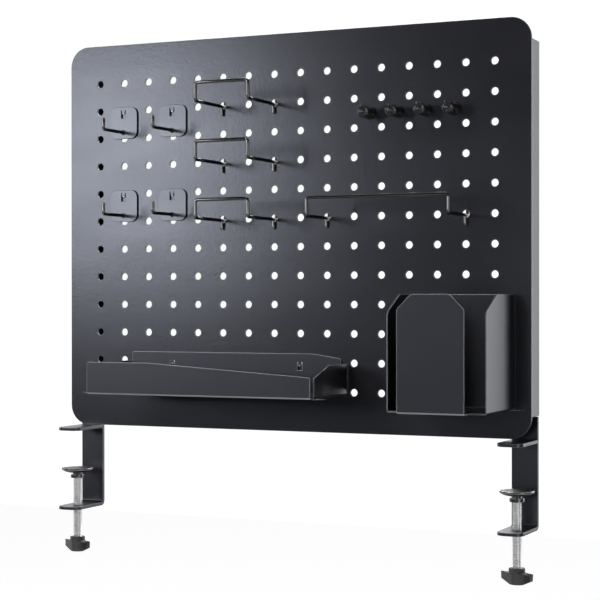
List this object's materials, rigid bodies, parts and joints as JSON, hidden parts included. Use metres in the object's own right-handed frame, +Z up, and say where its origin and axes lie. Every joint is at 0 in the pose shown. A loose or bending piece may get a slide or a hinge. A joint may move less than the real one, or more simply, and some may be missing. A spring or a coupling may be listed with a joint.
{
  "type": "pegboard desk organizer",
  "caption": "Black steel pegboard on two desk clamps, with a tray, a cup holder, four single and four two-leg wire hooks and four magnetic pins.",
  "frame": {"origin": "midway between the two clamps, where the desk top's upper surface meets its rear edge", "axes": "+X to the viewer's right along the desk's rear edge, +Y away from the viewer, +Z up"},
  "size_m": [0.4547, 0.1158, 0.4689],
  "materials": {
    "panel_powder_coat": "satin black powder coat",
    "clamp_powder_coat": "satin black powder coat",
    "accessory_powder_coat": "fine satin powder coat",
    "black_oxide_steel": "satin black",
    "zinc_plate": "bright zinc-plated thread",
    "knob_plastic": "matt dark grey moulding",
    "liner_rubber": "matt",
    "black_nickel_wire": "black nickel plate",
    "pin_plastic": "glossy black",
    "magnet_nickel": "nickel plate"
  },
  "bodies": {
    "board": {"pegboard_panel": "panel_powder_coat", "bracket_screws": "black_oxide_steel", "left_side_channel": "panel_powder_coat", "left_clamp_bracket": "clamp_powder_coat", "left_upper_jaw": "clamp_powder_coat", "right_side_channel": "panel_powder_coat", "right_clamp_bracket": "clamp_powder_coat", "right_upper_jaw": "clamp_powder_coat"},
    "left_pad": {"left_pad_cup": "black_oxide_steel", "left_pad_liner": "liner_rubber"},
    "left_screw": {"left_clamp_screw": "zinc_plate", "left_screw_collar": "black_oxide_steel", "left_clamp_knob": "knob_plastic"},
    "right_pad": {"right_pad_cup": "black_oxide_steel", "right_pad_liner": "liner_rubber"},
    "right_screw": {"right_clamp_screw": "zinc_plate", "right_screw_collar": "black_oxide_steel", "right_clamp_knob": "knob_plastic"},
    "tray": {"tray": "accessory_powder_coat"},
    "cup_holder": {"cup_holder": "accessory_powder_coat"},
    "single_hook_1": {"single_hook_1_plate": "accessory_powder_coat", "single_hook_1_wire": "black_nickel_wire"},
    "magnetic_pin_1": {"magnetic_pin_1_body": "pin_plastic", "magnetic_pin_1_magnet": "magnet_nickel"},
    "single_hook_2": {"single_hook_2_plate": "accessory_powder_coat", "single_hook_2_wire": "black_nickel_wire"},
    "magnetic_pin_2": {"magnetic_pin_2_body": "pin_plastic", "magnetic_pin_2_magnet": "magnet_nickel"},
    "single_hook_3": {"single_hook_3_plate": "accessory_powder_coat", "single_hook_3_wire": "black_nickel_wire"},
    "magnetic_pin_3": {"magnetic_pin_3_body": "pin_plastic", "magnetic_pin_3_magnet": "magnet_nickel"},
    "single_hook_4": {"single_hook_4_plate": "accessory_powder_coat", "single_hook_4_wire": "black_nickel_wire"},
    "magnetic_pin_4": {"magnetic_pin_4_body": "pin_plastic", "magnetic_pin_4_magnet": "magnet_nickel"},
    "double_hook_1": {"double_hook_1_wire": "black_nickel_wire", "double_hook_1_stops": "black_nickel_wire"},
    "double_hook_2": {"double_hook_2_wire": "black_nickel_wire", "double_hook_2_stops": "black_nickel_wire"},
    "double_hook_3": {"double_hook_3_wire": "black_nickel_wire", "double_hook_3_stops": "black_nickel_wire"},
    "wide_hook": {"wide_hook_wire": "black_nickel_wire", "wide_hook_stops": "black_nickel_wire"}
  },
  "joints": [
    {"name": "left_pad_travel", "type": "slide", "parent": "board", "child": "left_pad", "axis": [0, 0, 1], "range_m": [-0.0243, 0.026]},
    {"name": "left_screw_turn", "type": "hinge", "parent": "left_pad", "child": "left_screw", "pos_m": [-0.21175, -0.0248, -0.0354], "axis": [0, 0, 1], "range_deg": [-7239, 7728]},
    {"name": "right_pad_travel", "type": "slide", "parent": "board", "child": "right_pad", "axis": [0, 0, 1], "range_m": [-0.0226, 0.0277]},
    {"name": "right_screw_turn", "type": "hinge", "parent": "right_pad", "child": "right_screw", "pos_m": [0.21175, -0.0248, -0.0371], "axis": [0, 0, 1], "range_deg": [-6749, 8218]},
    {"name": "double_hook_1_swing", "type": "hinge", "parent": "board", "child": "double_hook_1", "pos_m": [-0.0381, -0.01618, 0.29735], "axis": [-1, 0, 0], "range_deg": [0, 70]},
    {"name": "double_hook_2_swing", "type": "hinge", "parent": "board", "child": "double_hook_2", "pos_m": [-0.0381, -0.01618, 0.24655], "axis": [-1, 0, 0], "range_deg": [0, 35]},
    {"name": "double_hook_3_swing", "type": "hinge", "parent": "board", "child": "double_hook_3", "pos_m": [-0.0381, -0.01618, 0.19575], "axis": [-1, 0, 0], "range_deg": [0, 35]},
    {"name": "wide_hook_swing", "type": "hinge", "parent": "board", "child": "wide_hook", "pos_m": [0.1016, -0.01618, 0.19575], "axis": [-1, 0, 0], "range_deg": [0, 70]},
    {"name": "single_hook_1_lift", "type": "slide", "parent": "board", "child": "single_hook_1", "axis": [0, 0, 1], "range_m": [0, 0.0015]},
    {"name": "single_hook_2_lift", "type": "slide", "parent": "board", "child": "single_hook_2", "axis": [0, 0, 1], "range_m": [0, 0.0015]},
    {"name": "single_hook_3_lift", "type": "slide", "parent": "board", "child": "single_hook_3", "axis": [0, 0, 1], "range_m": [0, 0.0015]},
    {"name": "single_hook_4_lift", "type": "slide", "parent": "board", "child": "single_hook_4", "axis": [0, 0, 1], "range_m": [0, 0.0015]},
    {"name": "tray_lift", "type": "slide", "parent": "board", "child": "tray", "axis": [0, 0, 1], "range_m": [0, 0.003]},
    {"name": "cup_holder_lift", "type": "slide", "parent": "board", "child": "cup_holder", "axis": [0, 0, 1], "range_m": [0, 0.003]},
    {"name": "magnetic_pin_1_pull", "type": "slide", "parent": "board", "child": "magnetic_pin_1", "axis": [0, -1, 0], "range_m": [0, 0.025]},
    {"name": "magnetic_pin_2_pull", "type": "slide", "parent": "board", "child": "magnetic_pin_2", "axis": [0, -1, 0], "range_m": [0, 0.025]},
    {"name": "magnetic_pin_3_pull", "type": "slide", "parent": "board", "child": "magnetic_pin_3", "axis": [0, -1, 0], "range_m": [0, 0.025]},
    {"name": "magnetic_pin_4_pull", "type": "slide", "parent": "board", "child": "magnetic_pin_4", "axis": [0, -1, 0], "range_m": [0, 0.025]}
  ],
  "couplings": [
    {"joint": "left_screw_turn", "follows": "left_pad_travel", "rad_per_m": 5026.5},
    {"joint": "right_screw_turn", "follows": "right_pad_travel", "rad_per_m": 5026.5}
  ]
}
